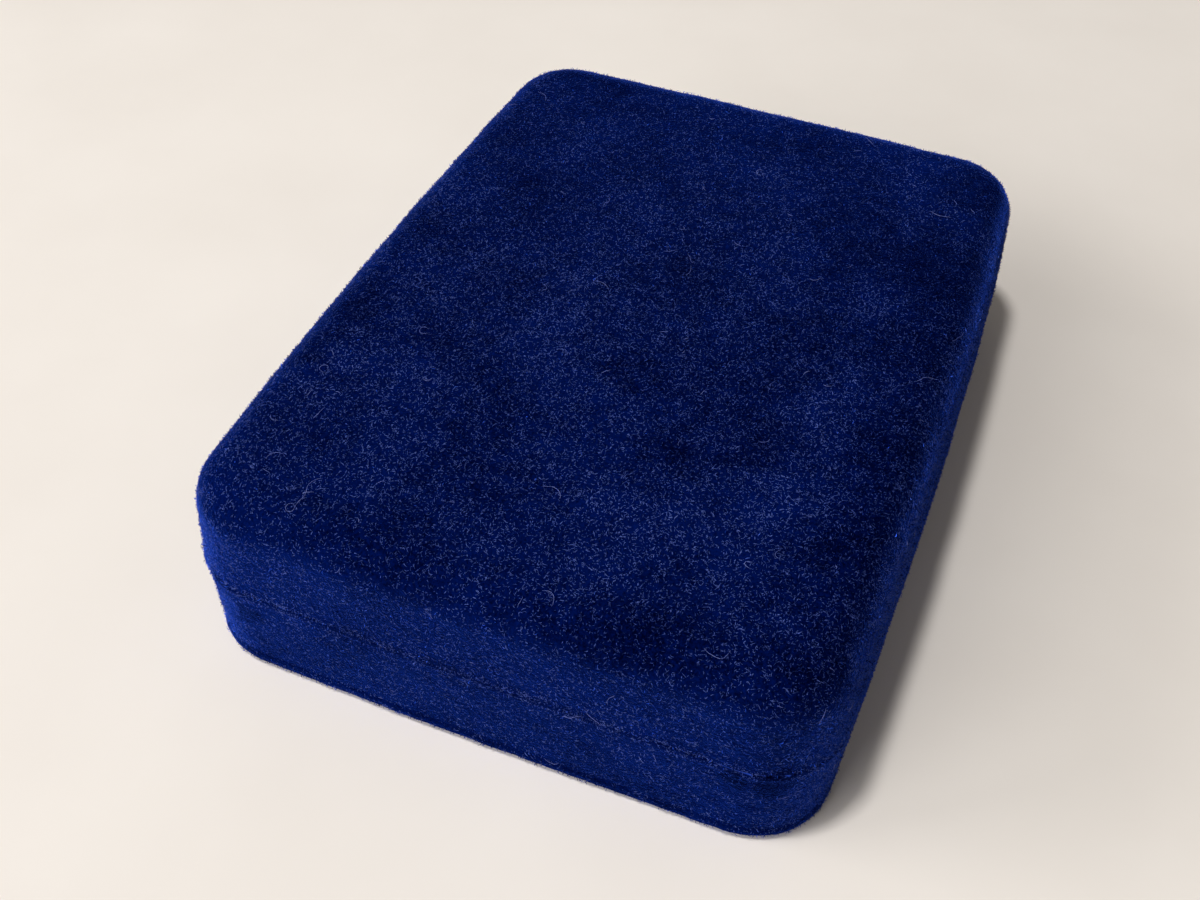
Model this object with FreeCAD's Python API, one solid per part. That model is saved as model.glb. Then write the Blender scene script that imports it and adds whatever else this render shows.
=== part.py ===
import FreeCAD
import Part

import math
import os
from collections import namedtuple

from FreeCAD import Vector

# Velvet-covered clamshell case for a set of three small spring-bow drafting instruments.
# Two moulded half shells are wrapped in pile velvet and meet at a seam half way up.
# A riveted knuckle hinge in the back wall carries the lid, and a bowed strip spring that
# passes over the hinge axis snaps the lid shut and holds it open.
# Millimetres. The origin is the middle of the footprint on the table, +Z is up, +Y points
# to the hinge side, and the lid is closed.

# Outside form
case_length = 102.0
case_width = 77.0
case_height = 26.0
seam_height = 13.5
seam_gap = 0.3
corner_radius = 9.5
long_side_bow = 1.2
short_side_bow = 0.5
lid_edge_radius = 5.0
base_edge_radius = 2.0
seam_edge_radius = 0.3
inner_edge_radius = 0.8
lid_draft = 0.8
base_draft = 0.6

# Cloth and shells
velvet_thickness = 0.9
hem_thickness = 0.5
hem_depth = 4.0
glue_gap = 0.05
shell_wall = 1.5
panel_margin = 8.0
panel_clearance = 0.2

# Metal rims
rim_thickness = 0.45
rim_depth = 4.8
rim_start = 0.6
lip_height = 2.0
lip_clearance = 0.35

# Hinge
hinge_length = 50.0
knuckle_count = 5
knuckle_radius = 1.5
knuckle_gap = 0.3
knuckle_clearance = 0.3
pin_radius = 0.9
pin_clearance = 0.05
pin_head_radius = 1.3
pin_head_thickness = 0.6
leaf_thickness = 0.6
leaf_height = 9.0
leaf_seat_gap = 0.1
leaf_corner_radius = 1.5
mortise_clearance = 0.3
opening_angle = 100.0
relief_clearance = 0.25
rivet_radius = 0.7
rivet_head_radius = 1.4
rivet_head_height = 0.5
rivet_height = 6.0
rivet_inner_offset = 11.0
rivet_outer_offset = 20.0
rivet_bite = 0.8
rivet_clearance = 0.05

# Over-centre spring
spring_reach = 5.6
spring_width = 7.0
spring_thickness = 0.3
spring_pin_radius = 0.4
spring_pin_clearance = 0.07
spring_side_gap = 0.4
ear_thickness = 0.5
ear_margin = 0.7
window_margin = 0.35
spring_well_margin = 0.5
eye_slack = 0.1

# Lid cushion
cushion_clearance = 0.15
cushion_depth = 4.0
cushion_edge_radius = 1.2
satin_thickness = 0.35
board_thickness = 1.6

# Fitted tray
lining_inset = 4.2
tray_drop = 1.4
tray_skin = 0.6
recess_count = 3
recess_pitch = 21.5
recess_depth = 7.2
recess_end_wall = 2.8
recess_corner_radius = 1.2
handle_width = 6.0
handle_length = 25.0
bow_diameter = 16.0
leg_root_width = 12.0
leg_tip_width = 6.0
wheel_slot_length = 18.0
wheel_slot_width = 8.0
wheel_below_bow = 22.0
finger_scoop_width = 17.0
finger_scoop_depth = 5.0
finger_scoop_from_front = 16.0
finger_scoop_end_wall = 5.0

# Worked out from the sizes above
half_length = case_length / 2
half_width = case_width / 2
shell_inset = velvet_thickness + glue_gap
hem_inset = shell_inset + shell_wall + glue_gap
rim_inset = hem_inset + hem_thickness + glue_gap
lip_inset = rim_inset + rim_thickness + lip_clearance
cushion_inset = rim_inset + rim_thickness + cushion_clearance
shell_mouth = hem_thickness + glue_gap
leaf_back = half_length - shell_inset - shell_wall - leaf_seat_gap
leaf_front = leaf_back - leaf_thickness
hinge_y = leaf_front + knuckle_radius
hinge_half = hinge_length / 2
pin_half = hinge_half + pin_head_thickness
relief_angle = math.radians(opening_angle / 2)
beyond = case_length

# The spring's two pins sit at equal reach above and below the hinge axis. Half way through
# the lid's travel they and the axis are in line, which is where the lid snaps over.
spring_angle = math.radians(90 - opening_angle / 4)
spring_y = hinge_y - spring_reach * math.cos(spring_angle)
spring_rise = spring_reach * math.sin(spring_angle)
spring_eye = spring_pin_radius + spring_pin_clearance
eye_radius = spring_eye + spring_thickness
eye_travel = 2 * (spring_reach - spring_rise) + eye_slack
ear_place = spring_width / 2 + spring_side_gap
well_front = spring_y - spring_rise - spring_thickness - spring_well_margin

# An instrument lies in its recess with its handle towards the hinge.
recess_back = well_front - recess_end_wall
recess_front = lining_inset + recess_end_wall - half_length
bow_centre = recess_back - handle_length
wheel_centre = bow_centre - wheel_below_bow
finger_scoop_centre = recess_front + finger_scoop_from_front

Half = namedtuple("Half", "mouth end draft edge_radius way")
LID = Half(seam_height + seam_gap / 2, case_height, lid_draft, lid_edge_radius, 1)
BASE = Half(seam_height - seam_gap / 2, 0.0, base_draft, base_edge_radius, -1)


# Outlines and blanks

def bow_radius(half_chord, bow):
    """Radius of a side that stands out by bow at its middle."""
    return (half_chord ** 2 + bow ** 2) / (2 * bow)


def corner_centre():
    """Centres of the right side, the back and the arc between them, which is tangent to both."""
    long_radius = bow_radius(half_length, long_side_bow)
    short_radius = bow_radius(half_width, short_side_bow)
    long_centre = Vector(half_width - long_radius, 0, 0)
    short_centre = Vector(0, half_length - short_radius, 0)
    across = short_centre - long_centre
    reach_long = long_radius - corner_radius
    reach_short = short_radius - corner_radius
    along = (reach_long ** 2 - reach_short ** 2 + across.Length ** 2) / (2 * across.Length)
    aside = math.sqrt(reach_long ** 2 - along ** 2)
    unit = across / across.Length
    normal = Vector(-unit.y, unit.x, 0)
    return long_centre, short_centre, long_centre + unit * along + normal * aside


LONG_CENTRE, SHORT_CENTRE, CORNER = corner_centre()


def outline(inset, z):
    """Plan of the case at height z, moved in by inset: four bowed sides and four round corners."""
    radius = corner_radius - inset
    to_long = (CORNER - LONG_CENTRE).normalize()
    to_short = (CORNER - SHORT_CENTRE).normalize()
    side_end = CORNER + to_long * radius
    corner_mid = CORNER + (to_long + to_short).normalize() * radius
    end_start = CORNER + to_short * radius
    edges = []
    for sx, sy in ((1, 1), (-1, 1), (-1, -1), (1, -1)):
        corner = [Vector(sx * p.x, sy * p.y, z) for p in (side_end, corner_mid, end_start)]
        edges.append(Part.Arc(*corner).toShape())
    for way in (1, -1):
        side = [Vector(way * side_end.x, -side_end.y, z), Vector(way * (half_width - inset), 0, z)]
        side.append(Vector(way * side_end.x, side_end.y, z))
        edges.append(Part.Arc(*side).toShape())
        end = [Vector(-end_start.x, way * end_start.y, z), Vector(0, way * (half_length - inset), z)]
        end.append(Vector(end_start.x, way * end_start.y, z))
        edges.append(Part.Arc(*end).toShape())
    return Part.Wire(Part.__sortEdges__(edges))


def slab(half, inset, near, far):
    """Solid between two depths from a half's mouth, with sides that follow its draft."""
    slope = half.draft / abs(half.end - half.mouth)
    depths = sorted((near, far))
    wires = [outline(inset + slope * d, half.mouth + half.way * d) for d in depths]
    return Part.makeLoft(wires, True, True)


def ring(half, outer, inner, near, far):
    """Band between two insets, between two depths from a half's mouth."""
    return slab(half, outer, near, far).cut(slab(half, inner, near - 1, far + 1))


def form(half, inset, mouth_radius=0.0):
    """A half of the case as a solid block, moved in by inset from the outside of the velvet."""
    closed_end = half.end - half.way * inset
    block = slab(half, inset, 0, abs(closed_end - half.mouth))
    faces = sorted(block.Faces, key=lambda face: half.way * face.CenterOfMass.z)
    if mouth_radius:
        block = block.makeFillet(mouth_radius, faces[0].Edges)
        faces = sorted(block.Faces, key=lambda face: half.way * face.CenterOfMass.z)
    return block.makeFillet(max(half.edge_radius - inset, inner_edge_radius), faces[-1].Edges)


def box(x0, x1, y0, y1, z0, z1):
    """Box between two corners, given in either order on each axis."""
    low = Vector(min(x0, x1), min(y0, y1), min(z0, z1))
    return Part.makeBox(abs(x1 - x0), abs(y1 - y0), abs(z1 - z0), low)


def cross_rod(radius, x0, x1, y, z):
    """Round bar along X."""
    return Part.makeCylinder(radius, x1 - x0, Vector(x0, y, z), Vector(1, 0, 0))


def profile_prism(points, x0, x1):
    """Prism along X over a closed polygon of (y, z) points."""
    corners = [Vector(x0, y, z) for y, z in points]
    return Part.Face(Part.makePolygon(corners + corners[:1])).extrude(Vector(x1 - x0, 0, 0))


# Room for the hinge in the back wall

def lid_relief(setback):
    """Wedge along the back of the seam that lets the lid swing down behind the base.

    setback moves the wedge's faces into the wall, so that cloth of that thickness covers them.
    """
    apex = hinge_y - (relief_clearance + setback) / math.sin(relief_angle)
    reach = half_length + 1 - apex
    rise = reach * math.tan(relief_angle)
    points = [(apex, seam_height), (apex + reach, seam_height + rise), (apex + reach, seam_height - rise)]
    return profile_prism(points, -half_width, half_width)


def barrel_room():
    """Round channel for the knuckles, through both halves."""
    half = pin_half + knuckle_clearance
    return cross_rod(knuckle_radius + knuckle_clearance, -half, half, hinge_y, seam_height)


def mortise(half, back):
    """Recess for a hinge leaf, from the plane at back towards the inside."""
    reach = hinge_half + mortise_clearance
    depth = leaf_height + mortise_clearance
    front = leaf_front - lining_inset
    return box(-reach, reach, front, back, seam_height, seam_height + half.way * depth)


# Cloth covered halves

def velvet_cover(half):
    """Pile cloth over a shell, round its mouth and down inside as a hem."""
    skin = form(half, 0.0, seam_edge_radius).cut(lid_relief(0.0))
    core = form(half, velvet_thickness).cut(slab(half, -1.0, -1.0, hem_thickness))
    core = core.cut(lid_relief(hem_thickness))
    hem = ring(half, hem_inset, hem_inset + hem_thickness, 0.0, hem_depth)
    mouth = slab(half, hem_inset + hem_thickness, -1.0, 2 * hem_thickness)
    cover = skin.cut(core).cut(mouth).fuse(hem).removeSplitter()
    cover = cover.cut(barrel_room()).cut(mortise(half, leaf_back + glue_gap))
    return max(cover.Solids, key=lambda solid: solid.Volume)


def shell(half):
    """Moulded half shell, with a mortise and rivet holes for its hinge leaf."""
    body = form(half, shell_inset).cut(form(half, shell_inset + shell_wall))
    body = body.cut(slab(half, -1.0, -1.0, shell_mouth)).cut(lid_relief(shell_mouth))
    body = body.cut(barrel_room()).cut(mortise(half, leaf_back + glue_gap))
    for hole in rivet_shanks(half, rivet_radius + rivet_clearance, glue_gap):
        body = body.cut(hole)
    return max(body.Solids, key=lambda solid: solid.Volume)


def base_velvet():
    """The base's cloth stops under the case at the window for the bottom panel."""
    window = slab(BASE, panel_margin, BASE.mouth - velvet_thickness - 1, BASE.mouth + 1)
    return velvet_cover(BASE).cut(window)


def bottom_panel():
    """Plain panel glued under the case, inside the turned-under edge of the velvet."""
    inset = panel_margin + panel_clearance
    return slab(BASE, inset, BASE.mouth - velvet_thickness, BASE.mouth)


def lid_rim():
    """Gilt band inside the lid's mouth that grips the hem of the velvet."""
    band = ring(LID, rim_inset, rim_inset + rim_thickness, rim_start, rim_depth)
    return band.cut(mortise(LID, half_length))


def base_rim():
    """Gilt band inside the base's mouth, stepped in to make the lip that the lid closes over."""
    step = rim_start + rim_thickness
    band = ring(BASE, rim_inset, rim_inset + rim_thickness, rim_start, rim_depth)
    ledge = ring(BASE, rim_inset, lip_inset + rim_thickness, rim_start, step)
    lip = ring(LID, lip_inset, lip_inset + rim_thickness, -(seam_gap + step), lip_height)
    hinge_gap = mortise(BASE, half_length).fuse(mortise(LID, half_length))
    return band.fuse(ledge).fuse(lip).removeSplitter().cut(hinge_gap)


# Hinge

def knuckle_spans():
    """Start and end of each knuckle along the hinge."""
    pitch = hinge_length / knuckle_count
    for index in range(knuckle_count):
        start = -hinge_half + index * pitch
        yield index, start + knuckle_gap / 2, start + pitch - knuckle_gap / 2


def hinge_leaf(half):
    """Stamped leaf with rolled knuckles, a window for the spring's eye and two ears for its pin."""
    own = 1 if half is LID else 0
    plate_start = seam_height + half.way * (knuckle_radius + knuckle_clearance)
    plate_end = seam_height + half.way * leaf_height
    leaf = box(-hinge_half, hinge_half, leaf_front, leaf_back, plate_start, plate_end)
    leaf = leaf.makeFillet(leaf_corner_radius, free_corners(leaf, plate_end))
    for index, x0, x1 in knuckle_spans():
        if index % 2 == own:
            leaf = leaf.fuse(box(x0, x1, leaf_front, leaf_back, seam_height, plate_start))
            leaf = leaf.fuse(cross_rod(knuckle_radius, x0, x1, hinge_y, seam_height))
    leaf = leaf.cut(cross_rod(pin_radius + pin_clearance, -beyond, beyond, hinge_y, seam_height))
    for hole in rivet_shanks(half, rivet_radius + rivet_clearance, glue_gap):
        leaf = leaf.cut(hole)
    return spring_seat(leaf, half).removeSplitter()


def free_corners(plate, z):
    """The two short edges at the corners of a leaf's far edge."""
    return [edge for edge in plate.Edges
            if abs(edge.CenterOfMass.z - z) < 1e-6 and edge.Length < 2 * leaf_thickness]


def spring_seat(leaf, half):
    """Cuts the window behind the spring's eye and bends its two ears up beside it."""
    z = seam_height + half.way * spring_rise
    room = eye_radius + window_margin
    low = z - room
    high = z + room
    if half is LID:
        low = seam_height
        high += eye_travel
    leaf = leaf.cut(box(-ear_place, ear_place, leaf_front - 1, leaf_back + 1, low, high))
    for side in (1, -1):
        x0 = side * ear_place
        x1 = side * (ear_place + ear_thickness)
        ear_half = spring_pin_radius + ear_margin
        blank = box(x0, x1, spring_y - ear_half, leaf_back, z - ear_half, z + ear_half)
        tip = cross_rod(ear_half, min(x0, x1), max(x0, x1), spring_y, z)
        ear = box(x0, x1, spring_y, leaf_back, z - ear_half, z + ear_half)
        leaf = leaf.fuse(ear.fuse(tip.common(blank)))
    return leaf.cut(cross_rod(spring_pin_radius, -beyond, beyond, spring_y, z))


def rivet_shanks(half, radius, end_gap):
    """Bars along Y through a leaf and the wall behind it, one for each rivet."""
    z = seam_height + half.way * rivet_height
    end = leaf_back + rivet_bite + end_gap
    for x in (-rivet_outer_offset, -rivet_inner_offset, rivet_inner_offset, rivet_outer_offset):
        yield Part.makeCylinder(radius, end - leaf_front, Vector(x, leaf_front, z), Vector(0, 1, 0))


def hinge_rivets(half):
    """Round-headed rivets that hold a leaf to its shell."""
    rivets = []
    for shank in rivet_shanks(half, rivet_radius, 0.0):
        centre = Vector(shank.CenterOfMass.x, leaf_front, shank.CenterOfMass.z)
        dome_radius = (rivet_head_radius ** 2 + rivet_head_height ** 2) / (2 * rivet_head_height)
        dome = Part.makeSphere(dome_radius, centre + Vector(0, dome_radius - rivet_head_height, 0))
        head = Part.makeCylinder(rivet_head_radius, rivet_head_height, centre, Vector(0, -1, 0)).common(dome)
        rivets.append(shank.fuse(head).removeSplitter())
    return Part.makeCompound(rivets)


def hinge_pin():
    """Wire pin through all the knuckles, headed over at both ends."""
    pin = cross_rod(pin_radius, -pin_half, pin_half, hinge_y, seam_height)
    for x0 in (-pin_half, hinge_half):
        pin = pin.fuse(cross_rod(pin_head_radius, x0, x0 + pin_head_thickness, hinge_y, seam_height))
    return pin.removeSplitter()


def spring_pin(half):
    """Short pin held in a leaf's ears, for one eye of the spring."""
    reach = ear_place + ear_thickness
    return cross_rod(spring_pin_radius, -reach, reach, spring_y, seam_height + half.way * spring_rise)


def snap_spring():
    """Strip bowed towards the inside of the case, with an eye round each spring pin.

    The lid's eye is a long loop, which leaves room for the stretch of the strip as the pins
    pass through line with the hinge axis.
    """
    half = spring_width / 2
    axis_z = seam_height
    outer = cross_rod(spring_rise + spring_thickness / 2, -half, half, spring_y, axis_z)
    inner = cross_rod(spring_rise - spring_thickness / 2, -half, half, spring_y, axis_z)
    inside = box(-half, half, spring_y, spring_y - 2 * spring_rise, axis_z - 2 * spring_rise,
                 axis_z + 2 * spring_rise)
    strip = outer.cut(inner).common(inside)
    low_eye = axis_z - spring_rise
    high_eye = axis_z + spring_rise
    strip = strip.fuse(cross_rod(eye_radius, -half, half, spring_y, low_eye))
    strip = strip.fuse(long_loop(eye_radius, -half, half, high_eye))
    strip = strip.cut(cross_rod(spring_eye, -half, half, spring_y, low_eye))
    return strip.cut(long_loop(spring_eye, -half, half, high_eye)).removeSplitter()


def long_loop(radius, x0, x1, z):
    """Bar along X with a long section, its lower round at height z."""
    loop = cross_rod(radius, x0, x1, spring_y, z).fuse(cross_rod(radius, x0, x1, spring_y, z + eye_travel))
    return loop.fuse(box(x0, x1, spring_y - radius, spring_y + radius, z, z + eye_travel))


def spring_well(half):
    """Room for the bowed spring in a lining."""
    reach = ear_place + ear_thickness + spring_well_margin
    return box(-reach, reach, well_front, half_length, seam_height, half.end)


# Lid cushion

def lid_board():
    """Stiff card under the cushion, shaped to the inside of the lid."""
    ceiling = form(LID, shell_inset + shell_wall + glue_gap)
    near = cushion_depth + foam_thickness()
    board = slab(LID, cushion_inset, near, LID.end - LID.mouth).common(ceiling)
    return board.cut(spring_well(LID))


def foam_thickness():
    """Foam between the satin and the card."""
    ceiling_depth = case_height - shell_inset - shell_wall - LID.mouth
    return ceiling_depth - board_thickness - cushion_depth


def lid_foam():
    """Foam pad inside the satin."""
    cover = satin_thickness + glue_gap
    far = cushion_depth + foam_thickness() - glue_gap
    pad = slab(LID, cushion_inset + cover, cushion_depth + cover, far)
    return pad.cut(grown_well(LID, cover))


def lid_satin():
    """Satin drawn over the foam and tucked in round the edge of the card."""
    far = cushion_depth + foam_thickness() - glue_gap
    outside = slab(LID, cushion_inset, cushion_depth, far)
    mouth_face = min(outside.Faces, key=lambda face: face.CenterOfMass.z)
    outside = outside.makeFillet(cushion_edge_radius, mouth_face.Edges).cut(spring_well(LID))
    inside = slab(LID, cushion_inset + satin_thickness, cushion_depth + satin_thickness, far + 1)
    return outside.cut(inside.cut(grown_well(LID, satin_thickness)))


def grown_well(half, margin):
    """The spring's well with a margin round it."""
    well = spring_well(half).BoundBox
    return box(well.XMin - margin, well.XMax + margin, well.YMin - margin, half_length, well.ZMin, well.ZMax)


# Fitted tray

def recess(x, outset):
    """Room for one instrument: its handle, bow, tapering legs and adjusting wheel."""
    low = tray_top() - recess_depth - outset
    high = BASE.mouth
    width = handle_width / 2 + outset
    handle = box(x - width, x + width, bow_centre, recess_back + outset, low, high)
    bow = Part.makeCylinder(bow_diameter / 2 + outset, high - low, Vector(x, bow_centre, low))
    root = leg_root_width / 2 + outset
    tip = leg_tip_width / 2 + outset
    front = recess_front - outset
    corners = [Vector(x - root, bow_centre, low), Vector(x + root, bow_centre, low)]
    corners += [Vector(x + tip, front, low), Vector(x - tip, front, low)]
    legs = Part.Face(Part.makePolygon(corners + corners[:1])).extrude(Vector(0, 0, high - low))
    reach = wheel_slot_length / 2 + outset
    slot = wheel_slot_width / 2 + outset
    wheel = box(x - reach, x + reach, wheel_centre - slot, wheel_centre + slot, low, high)
    room = handle.fuse(bow).fuse(legs).fuse(wheel).removeSplitter()
    upright = [edge for edge in room.Edges if edge.BoundBox.DiagonalLength - (high - low) < 1e-6
               and edge.BoundBox.ZLength > (high - low) / 2]
    return room.makeFillet(recess_corner_radius, upright)


def tray_top():
    """Height of the tray's upper face."""
    return BASE.mouth - tray_drop


def tray_form(skin):
    """The tray as a block with its recesses, moved in by skin from the face of its lining."""
    floor_depth = BASE.mouth - shell_inset - shell_wall - glue_gap
    block = slab(BASE, lining_inset, tray_drop + skin, floor_depth)
    block = block.cut(spring_well(BASE))
    for index in range(recess_count):
        x = (index - (recess_count - 1) / 2) * recess_pitch
        block = block.cut(recess(x, skin))
    return block.cut(finger_scoop(skin))


def finger_scoop(skin):
    """Round trough across the recesses, where a finger lifts an instrument out."""
    half = finger_scoop_width / 2
    radius = (half ** 2 + finger_scoop_depth ** 2) / (2 * finger_scoop_depth)
    reach = half_width - lining_inset - finger_scoop_end_wall + skin
    axis_height = tray_top() + radius - finger_scoop_depth
    return cross_rod(radius + skin, -reach, reach, finger_scoop_centre, axis_height)


parts = {
    "base_shell": shell(BASE),
    "base_velvet": base_velvet(),
    "bottom_panel": bottom_panel(),
    "base_rim": base_rim(),
    "tray_block": tray_form(tray_skin),
    "tray_velvet": tray_form(0.0).cut(tray_form(tray_skin)),
    "base_hinge_leaf": hinge_leaf(BASE),
    "base_hinge_rivets": hinge_rivets(BASE),
    "base_spring_pin": spring_pin(BASE),
    "hinge_pin": hinge_pin(),
    "snap_spring": snap_spring(),
    "lid_shell": shell(LID),
    "lid_velvet": velvet_cover(LID),
    "lid_rim": lid_rim(),
    "lid_board": lid_board(),
    "lid_foam": lid_foam(),
    "lid_satin": lid_satin(),
    "lid_hinge_leaf": hinge_leaf(LID),
    "lid_hinge_rivets": hinge_rivets(LID),
    "lid_spring_pin": spring_pin(LID),
}

os.makedirs("parts", exist_ok=True)
for name, shape in parts.items():
    print(name, len(shape.Solids), shape.isValid(), round(shape.Volume, 1), shape.BoundBox)
    shape.exportStep(f"parts/{name}.step")
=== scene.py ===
# %% [markdown]
# # A velvet drafting instrument case
#
# The case is a small clamshell wrapped in deep blue pile velvet. Inside it are a satin lid cushion,
# a fitted tray and a sprung hinge. Every solid was measured and jointed before this script starts,
# so the lesson here is about looks: it loads those solids as a fixed frame, leaves the hard pieces
# where they are and gives them finishes, and builds the soft pieces as new meshes in the same place.

# %% Load the frame
import math

import bmesh
import bpy
import numpy as np
from mathutils import Matrix, Vector, noise
from mathutils.bvhtree import BVHTree


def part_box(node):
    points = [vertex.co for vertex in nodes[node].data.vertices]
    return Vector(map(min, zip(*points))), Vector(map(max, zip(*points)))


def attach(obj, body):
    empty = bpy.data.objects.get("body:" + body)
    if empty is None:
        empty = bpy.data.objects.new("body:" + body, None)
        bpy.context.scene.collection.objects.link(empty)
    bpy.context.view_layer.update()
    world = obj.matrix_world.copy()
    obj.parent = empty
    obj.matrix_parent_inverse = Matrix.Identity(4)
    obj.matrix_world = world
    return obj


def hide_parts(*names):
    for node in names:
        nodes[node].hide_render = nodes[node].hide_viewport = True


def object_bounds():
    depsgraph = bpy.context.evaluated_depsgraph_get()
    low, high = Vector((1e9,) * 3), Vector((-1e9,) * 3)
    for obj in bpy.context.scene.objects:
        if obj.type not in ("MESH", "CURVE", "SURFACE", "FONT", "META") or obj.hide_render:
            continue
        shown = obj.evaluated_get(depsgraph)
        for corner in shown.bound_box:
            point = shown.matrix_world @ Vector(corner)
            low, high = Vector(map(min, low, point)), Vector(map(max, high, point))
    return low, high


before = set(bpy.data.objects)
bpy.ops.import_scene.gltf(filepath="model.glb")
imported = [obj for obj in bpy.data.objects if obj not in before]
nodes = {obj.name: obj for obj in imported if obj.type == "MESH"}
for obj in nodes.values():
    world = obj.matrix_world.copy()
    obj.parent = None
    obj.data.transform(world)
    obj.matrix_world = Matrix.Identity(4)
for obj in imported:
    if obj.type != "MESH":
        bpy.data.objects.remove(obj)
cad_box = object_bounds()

MM = 0.001
scene = bpy.context.scene
case_low, case_high = cad_box
print("case size in mm:", [round(side / MM, 1) for side in case_high - case_low])

# %% [markdown]
# ## The camera
#
# The viewpoint is a person's, standing over a table: about 46 degrees above the horizon and turned
# 20 degrees towards the case's right side. A matrix made of three turns says this directly: one round
# the upright axis, one to tip the lens down and a small one for how the camera leans in the hand.
# An aim constraint would do the same, but it can't lean.

# %% Place the camera
view_azimuth = math.radians(20.3)
view_elevation = math.radians(45.55)
view_lean = math.radians(2.2)
eye = Vector((40.0, -124.8, 133.25)) * MM

camera = bpy.data.objects.new("camera", bpy.data.cameras.new("camera"))
camera.data.sensor_width = 36.0
camera.data.lens = 41.4
camera.data.clip_start = 5 * MM
tip_down = Matrix.Rotation(math.pi / 2 - view_elevation, 4, "X")
turn = Matrix.Rotation(view_azimuth, 4, "Z") @ tip_down @ Matrix.Rotation(view_lean, 4, "Z")
camera.matrix_world = Matrix.Translation(eye) @ turn
scene.collection.objects.link(camera)
scene.camera = camera
print("camera to case in mm:", round(eye.length / MM))

# %% [markdown]
# ## One way to write shader maths
#
# A finish is a graph of nodes, but a formula reads better as a formula. The first class wraps a
# socket and overloads Python's operators, so `1 - mask` adds the Math node it needs. The second
# holds a material while it is being made. Its one method adds any other node: settings are set first,
# then sockets are filled with plain values or linked to wrapped ones.

# %% Socket maths
class Wire:
    """A value that flows between shader nodes."""

    def __init__(self, finish, socket):
        self.finish = finish
        self.socket = socket

    def maths(self, operation, first, second):
        """Adds a Math node."""
        return self.finish.node("ShaderNodeMath", {"operation": operation}, {0: first, 1: second})

    def beside(self, out):
        """Another output of the same node."""
        return Wire(self.finish, self.socket.node.outputs[out])

    def __add__(self, other):
        return self.maths("ADD", self, other)

    def __radd__(self, other):
        return self.maths("ADD", other, self)

    def __sub__(self, other):
        return self.maths("SUBTRACT", self, other)

    def __rsub__(self, other):
        return self.maths("SUBTRACT", other, self)

    def __mul__(self, other):
        return self.maths("MULTIPLY", self, other)

    def __rmul__(self, other):
        return self.maths("MULTIPLY", other, self)


print("operators on a wire: +, - and *")

# %% The material builder
class Finish:
    """A material, or the world, under construction."""

    def __init__(self, name, holders=bpy.data.materials):
        self.owner = holders.new(name)
        self.owner.use_nodes = True
        self.tree = self.owner.node_tree
        self.tree.nodes.clear()
        self.place = self.node("ShaderNodeTexCoord", out="Object")

    def fill(self, socket, value):
        """Links a wire to a socket, or sets the socket to a plain value."""
        if isinstance(value, Wire):
            self.tree.links.new(value.socket, socket)
        else:
            socket.default_value = value

    def node(self, kind, settings=None, sockets=None, out=0):
        """Adds a node of any kind and gives back one of its outputs."""
        made = self.tree.nodes.new(kind)
        for name, value in (settings or {}).items():
            setattr(made, name, value)
        for name, value in (sockets or {}).items():
            self.fill(made.inputs[name], value)
        return Wire(self, made.outputs[out]) if made.outputs else None

    def grain(self, size, detail=2.0, roughness=0.5, stretch=(1, 1, 1)):
        """Soft noise from 0 to 1 with lumps of about this size in metres."""
        place = self.node("ShaderNodeVectorMath", {"operation": "MULTIPLY"}, {0: self.place, 1: stretch})
        sockets = {"Vector": place, "Scale": 1 / size, "Detail": detail, "Roughness": roughness}
        return self.node("ShaderNodeTexNoise", sockets=sockets)

    def cells(self, size, feature="F1"):
        """Cells of about this size in metres: the distance to their middles or, by feature, edges."""
        sockets = {"Vector": self.place, "Scale": 1 / size}
        return self.node("ShaderNodeTexVoronoi", {"feature": feature}, sockets)

    def parts(self, vector):
        """The three numbers in a vector."""
        first = self.node("ShaderNodeSeparateXYZ", sockets={0: vector})
        return first, first.beside(1), first.beside(2)

    def band(self, value, start, end):
        """Rises smoothly from 0 to 1 as value goes from start to end."""
        sockets = {"Value": value, "From Min": start, "From Max": end}
        return self.node("ShaderNodeMapRange", {"interpolation_type": "SMOOTHSTEP"}, sockets)

    def blend(self, share, first, second):
        """Mixes two colours. The node keeps its colour sockets after those for numbers and vectors."""
        sockets = {0: share, 6: first, 7: second}
        return self.node("ShaderNodeMix", {"data_type": "RGBA"}, sockets, out=2)

    def bump(self, height, depth):
        """Surface relief of this depth in metres."""
        return self.node("ShaderNodeBump", sockets={"Height": height, "Distance": depth})

    def looked_at(self):
        """1 where the eye, a reflection or clear glass looks, and 0 for light that falls on things."""
        by_eye = self.node("ShaderNodeLightPath", out="Is Camera Ray")
        return by_eye + by_eye.beside("Is Glossy Ray") + by_eye.beside("Is Transmission Ray")

    def shade(self, **sockets):
        """Ends the graph in one surface shader, whose sockets are named with underscores."""
        named = {name.replace("_", " "): value for name, value in sockets.items()}
        surface = self.node("ShaderNodeBsdfPrincipled", sockets=named)
        self.node("ShaderNodeOutputMaterial", sockets={"Surface": surface})
        return self.owner


def srgb(red, green, blue):
    """A colour as a paint chart gives it, from 0 to 255, in the linear light that shaders use."""
    shares = [part / 255 for part in (red, green, blue)]
    linear = [s / 12.92 if s <= 0.04045 else ((s + 0.055) / 1.055) ** 2.4 for s in shares]
    return (*linear, 1.0)


print("a middle grey in linear light:", round(srgb(128, 128, 128)[0], 3))

# %% [markdown]
# ## Floor and light
#
# The stage is a plain pale table top. A small lamp hangs almost overhead and a little to the left, so
# the only shadow is a narrow dark strip along the right side. Two broad lamps, in front and at the left,
# lift the walls, and a weak warm room fills the rest. Their light is narrowed, as by a grid, so that the
# table under them doesn't burn out. To the eye and in reflections the room is as pale as the table, which
# runs out into it, and that adds no light.

# %% The table top
pale_room = srgb(230, 223, 214)
floor_reach = 3.0
floor_fades = (0.35, 1.1)


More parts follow.
